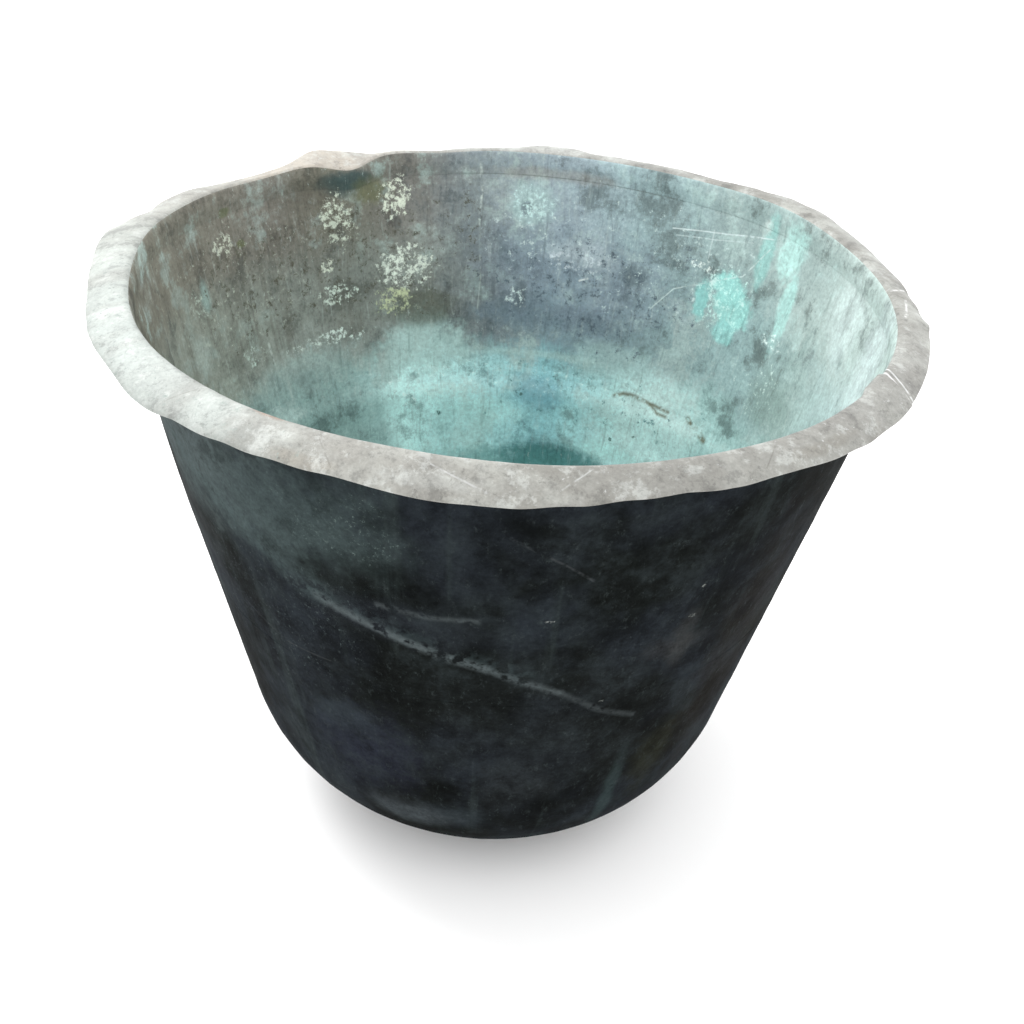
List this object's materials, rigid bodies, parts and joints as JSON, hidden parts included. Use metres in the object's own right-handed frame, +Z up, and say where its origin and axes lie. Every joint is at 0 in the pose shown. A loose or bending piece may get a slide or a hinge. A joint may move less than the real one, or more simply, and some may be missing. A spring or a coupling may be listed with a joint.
{
  "type": "hammered copper bowl",
  "caption": "Large deep tapering copper bowl with a round bottom and a wide turned-out rim, made of lapped and brazed sheets.",
  "frame": {"origin": "centre of the flat foot, on the surface that the bowl stands on", "axes": "+Z up along the bowl's axis, -Y towards the front, the side seam at the back"},
  "size_m": [0.64, 0.64, 0.4818],
  "materials": {
    "wall_copper": "hammered copper under a near-black green patina outside and a grey, brown and turquoise patina inside",
    "pan_copper": "raised copper, near-black outside and turquoise patina inside",
    "rim_copper": "worn silvery grey copper with pale green patina and scratches",
    "spelter": "dull brazing spelter"
  },
  "bodies": {
    "root": {"wall_sheet": "wall_copper", "wall_seam_braze": "spelter", "bottom_pan": "pan_copper", "bottom_seam_braze": "spelter", "rim_flange": "rim_copper", "rim_seam_braze": "spelter", "rim_lap_braze": "spelter"}
  },
  "joints": []
}
